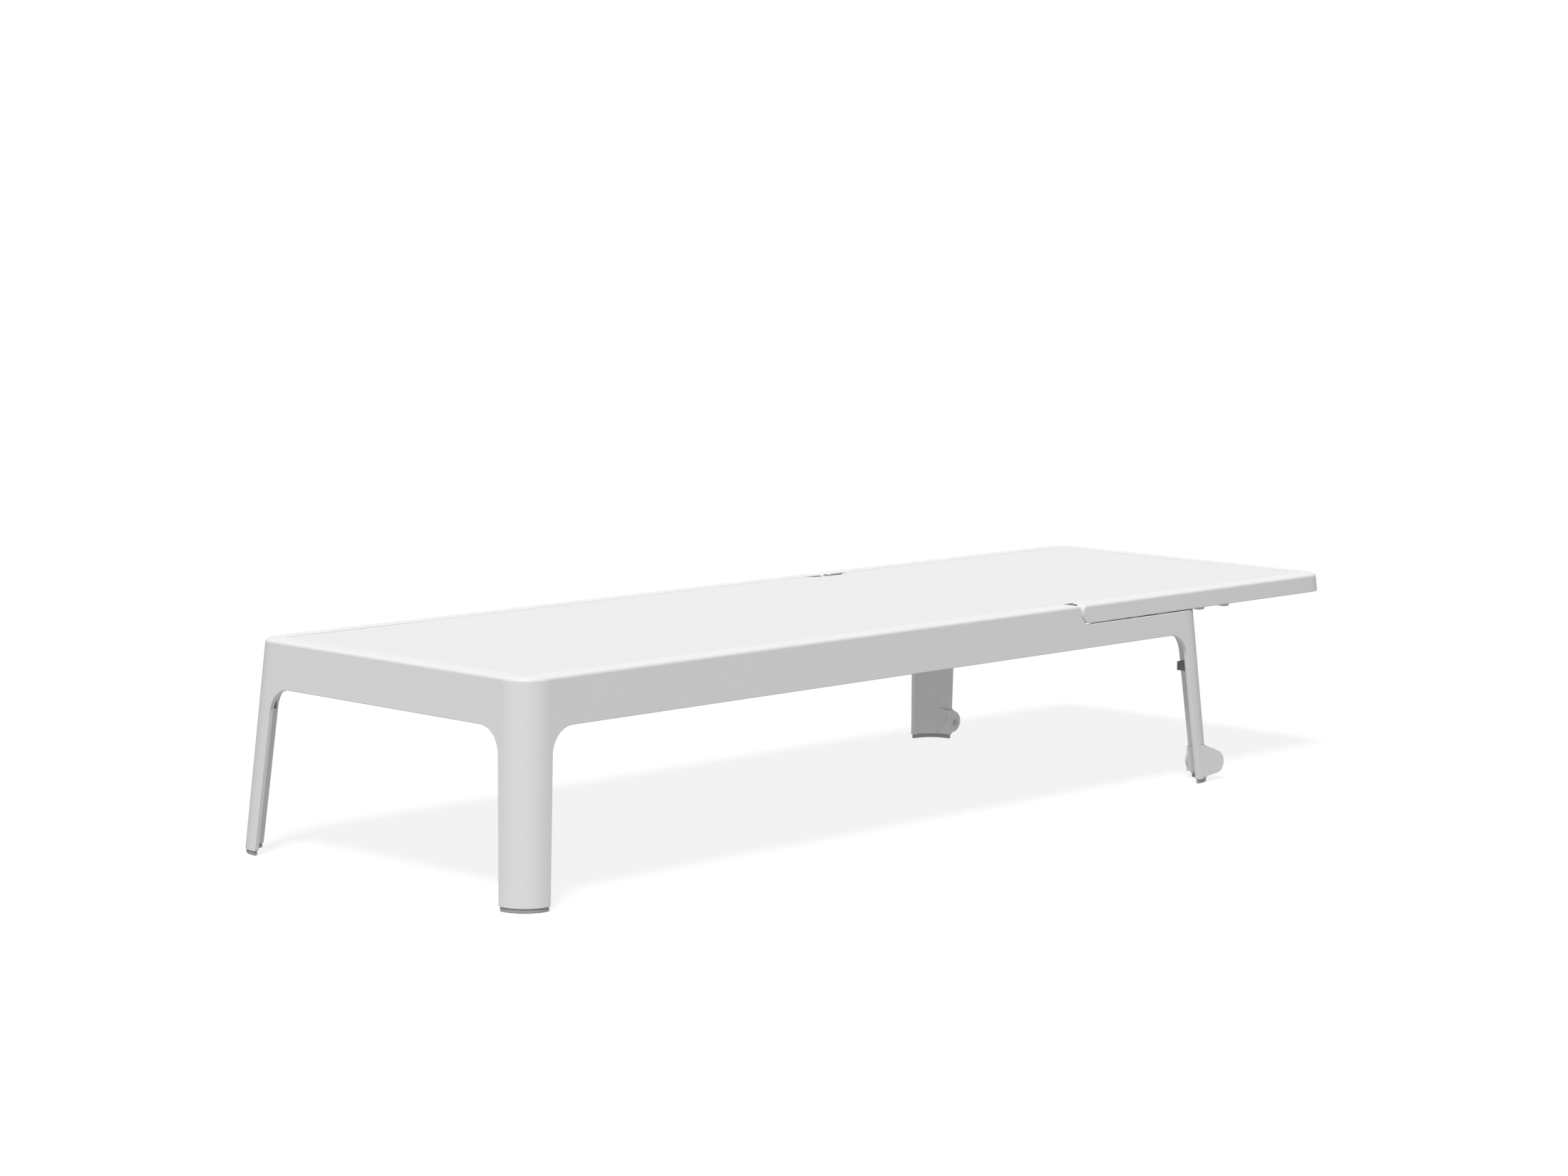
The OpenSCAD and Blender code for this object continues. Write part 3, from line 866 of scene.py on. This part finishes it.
@dataclass
class Studio:
    """White floor and backdrop, one high softbox and the camera."""

    lens: float = 83.75
    sensor: float = 36.0
    view_end: float = 400.0
    spot: tuple[float, float, float] = (-4.5274, -4.2565, 1.1319)
    yaw: float = 43.92
    pitch: float = 6.99
    roll: float = 0.4355
    sky: float = 0.39
    bounce: float = 0.49
    floor_glow: float = 0.835
    floor_albedo: float = 0.17
    room_side: float = 300.0
    bounce_side: float = 5.0
    bounce_middle: tuple[float, float, float] = (-1.7, -0.8, -2 * MM)
    wall_glow: float = 1.05
    wall_away: float = 100.0
    wall_middle: float = 149.0
    key: float = 2.5
    key_from: tuple[float, float, float] = (-0.410, -0.277, 0.869)
    key_spread: float = 12.0

    def camera(self) -> None:
        """Places the camera."""
        data = bpy.data.cameras.new("view_camera")
        data.lens = self.lens
        data.sensor_width = self.sensor
        data.clip_end = self.view_end
        yaw, pitch, roll = (math.radians(a) for a in (self.yaw, self.pitch, self.roll))
        flat = math.cos(pitch)
        ahead = Vector((math.cos(yaw) * flat, math.sin(yaw) * flat, -math.sin(pitch)))
        level = Vector((math.sin(yaw), -math.cos(yaw), 0.0))
        upright = level.cross(ahead)
        right = level * math.cos(roll) + upright * math.sin(roll)
        up = upright * math.cos(roll) - level * math.sin(roll)
        turn = Matrix((right, up, -ahead)).transposed()
        camera = bpy.data.objects.new("view_camera", data)
        camera.matrix_world = Matrix.Translation(self.spot) @ turn.to_4x4()
        bpy.context.scene.collection.objects.link(camera)
        bpy.context.scene.camera = camera

    def sheet(
        self,
        name: str,
        side: float,
        middle: tuple[float, float, float],
        glow: float,
        albedo: float,
    ) -> bpy.types.Object:
        """Lays a level glowing sheet as part of the stage.

        Args:
            name: the sheet's name.
            side: the length of its side.
            middle: its middle.
            glow: the light that it gives out.
            albedo: the share of light that it throws back.

        Returns:
            The sheet.
        """
        bpy.ops.object.select_all(action="DESELECT")
        bpy.ops.mesh.primitive_plane_add(size=side, location=middle)
        made = bpy.context.object
        made.name = name
        g = Graph(name + "_finish")
        g.put(
            Base_Color=(albedo, albedo, albedo, 1),
            Roughness=1.0,
            Specular_IOR_Level=0.0,
            Emission_Color=(1, 1, 1, 1),
            Emission_Strength=glow,
        )
        made.data.materials.append(g.material)
        return made

    def floor(self) -> None:
        """Lays the white floor, and the dimmer sheet under it that lights the lounger."""
        origin = (0.0, 0.0, 0.0)
        seen = self.sheet(
            "studio_floor", self.room_side, origin, self.floor_glow, self.floor_albedo
        )
        seen.visible_diffuse = False
        seen.visible_glossy = False
        below = self.sheet(
            "studio_bounce", self.bounce_side, self.bounce_middle, self.bounce, 0.0
        )
        below.visible_camera = False
        below.visible_shadow = False

    def backdrop(self) -> None:
        """Stands a white backdrop behind the floor and lights the room evenly."""
        world = bpy.data.worlds.new("studio_world")
        bpy.context.scene.world = world
        world.use_nodes = True
        shade = world.node_tree.nodes["Background"]
        shade.inputs["Color"].default_value = (1, 1, 1, 1)
        shade.inputs["Strength"].default_value = self.sky
        origin = (0.0, 0.0, 0.0)
        wall = self.sheet("studio_backdrop", self.room_side, origin, self.wall_glow, 0.0)
        yaw = math.radians(self.yaw)
        wall.rotation_euler = (math.radians(90), 0, yaw - math.radians(90))
        away = self.wall_away
        wall.location = (away * math.cos(yaw), away * math.sin(yaw), self.wall_middle)
        wall.visible_diffuse = False
        wall.visible_shadow = False

    def softbox(self) -> None:
        """Hangs the high softbox over the foot end as a broad distant source."""
        data = bpy.data.lights.new("key_softbox", "SUN")
        data.energy = self.key
        data.angle = math.radians(self.key_spread)
        lamp = bpy.data.objects.new("key_softbox", data)
        lamp.rotation_euler = Vector(self.key_from).to_track_quat("Z", "Y").to_euler()
        bpy.context.scene.collection.objects.link(lamp)

    def build(self) -> None:
        """Sets the studio up."""
        self.camera()
        self.floor()
        self.backdrop()
        self.softbox()
        bpy.context.scene.view_settings.view_transform = "Standard"
        LOG.info("studio ready")


def main() -> None:
    """Builds the lounger's looks in order."""
    logging.basicConfig(level=logging.INFO, format="%(name)s: %(message)s")
    finishes = Finishes()
    Studio().build()
    LegFrame(finishes, Body.LEG_FRAME).build()
    Backrest(finishes, Body.BACKREST).build()
    Prop(finishes, Body.PROP).build()
    Roller(finishes, Body.ROLLER_LEFT, "left").build()
    Roller(finishes, Body.ROLLER_RIGHT, "right").build()
    MeshTop(finishes).build()


if __name__ == "__main__":
    main()
